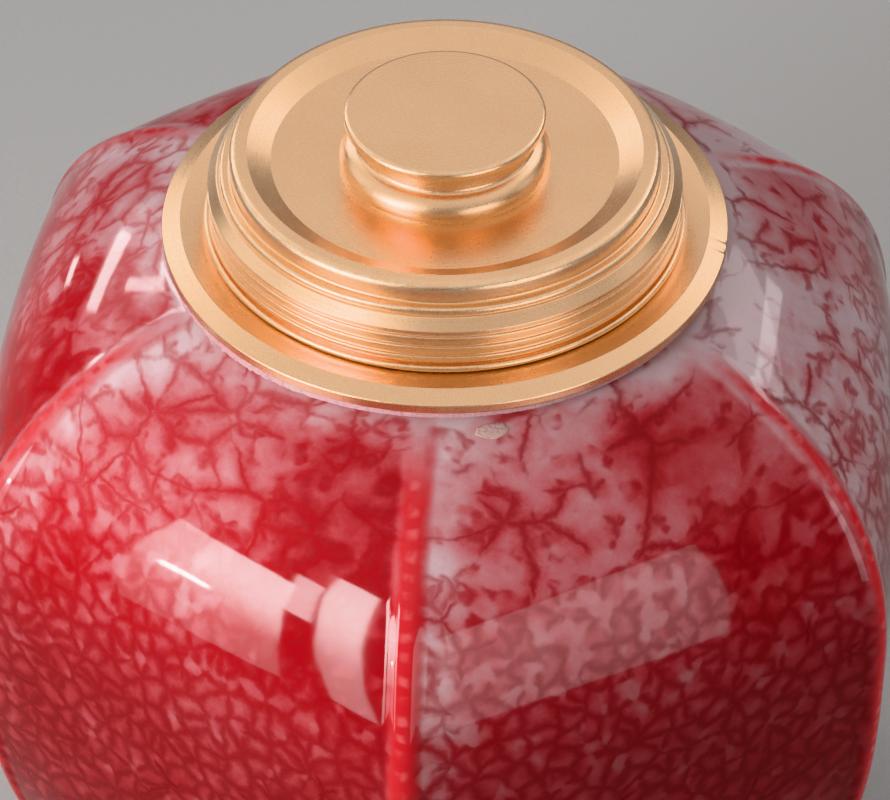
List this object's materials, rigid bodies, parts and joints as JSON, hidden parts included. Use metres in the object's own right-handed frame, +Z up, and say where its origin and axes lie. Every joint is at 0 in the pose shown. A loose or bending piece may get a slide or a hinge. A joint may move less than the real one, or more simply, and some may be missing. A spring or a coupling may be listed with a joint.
{
  "type": "ginger jar",
  "caption": "Six-panel glazed porcelain storage jar with a turned aluminium collar and a stepped pull-off lid with a mushroom knob.",
  "frame": {"origin": "centre of the foot ring's underside, on the jar's axis", "axes": "+Z up along the jar's axis; -Y points at one of the six ridges, taken as the front; +X is to the right seen from the front"},
  "size_m": [0.1184, 0.1316, 0.1226],
  "materials": {
    "red_crackle_glaze": "thick clear glaze over white porcelain with a red wash and dark red crackle",
    "gold_anodised": "turned, bead-blasted and anodised satin pale gold",
    "adhesive": "cured whitish translucent adhesive",
    "plug_plastic": "moulded off-white polypropylene",
    "silicone": "translucent white silicone",
    "screw_steel": "bright zinc-plated steel"
  },
  "bodies": {
    "jar": {"jar_body": "red_crackle_glaze", "neck_collar": "gold_anodised", "collar_adhesive": "adhesive"},
    "lid": {"lid_cap": "gold_anodised", "lid_plug": "plug_plastic", "lid_seal": "silicone", "lid_knob": "gold_anodised", "knob_screw": "screw_steel", "knob_washer": "screw_steel"}
  },
  "joints": [
    {"name": "lid_lift", "type": "slide", "parent": "jar", "child": "lid", "axis": [0, 0, 1], "range_m": [0, 0.08]}
  ]
}
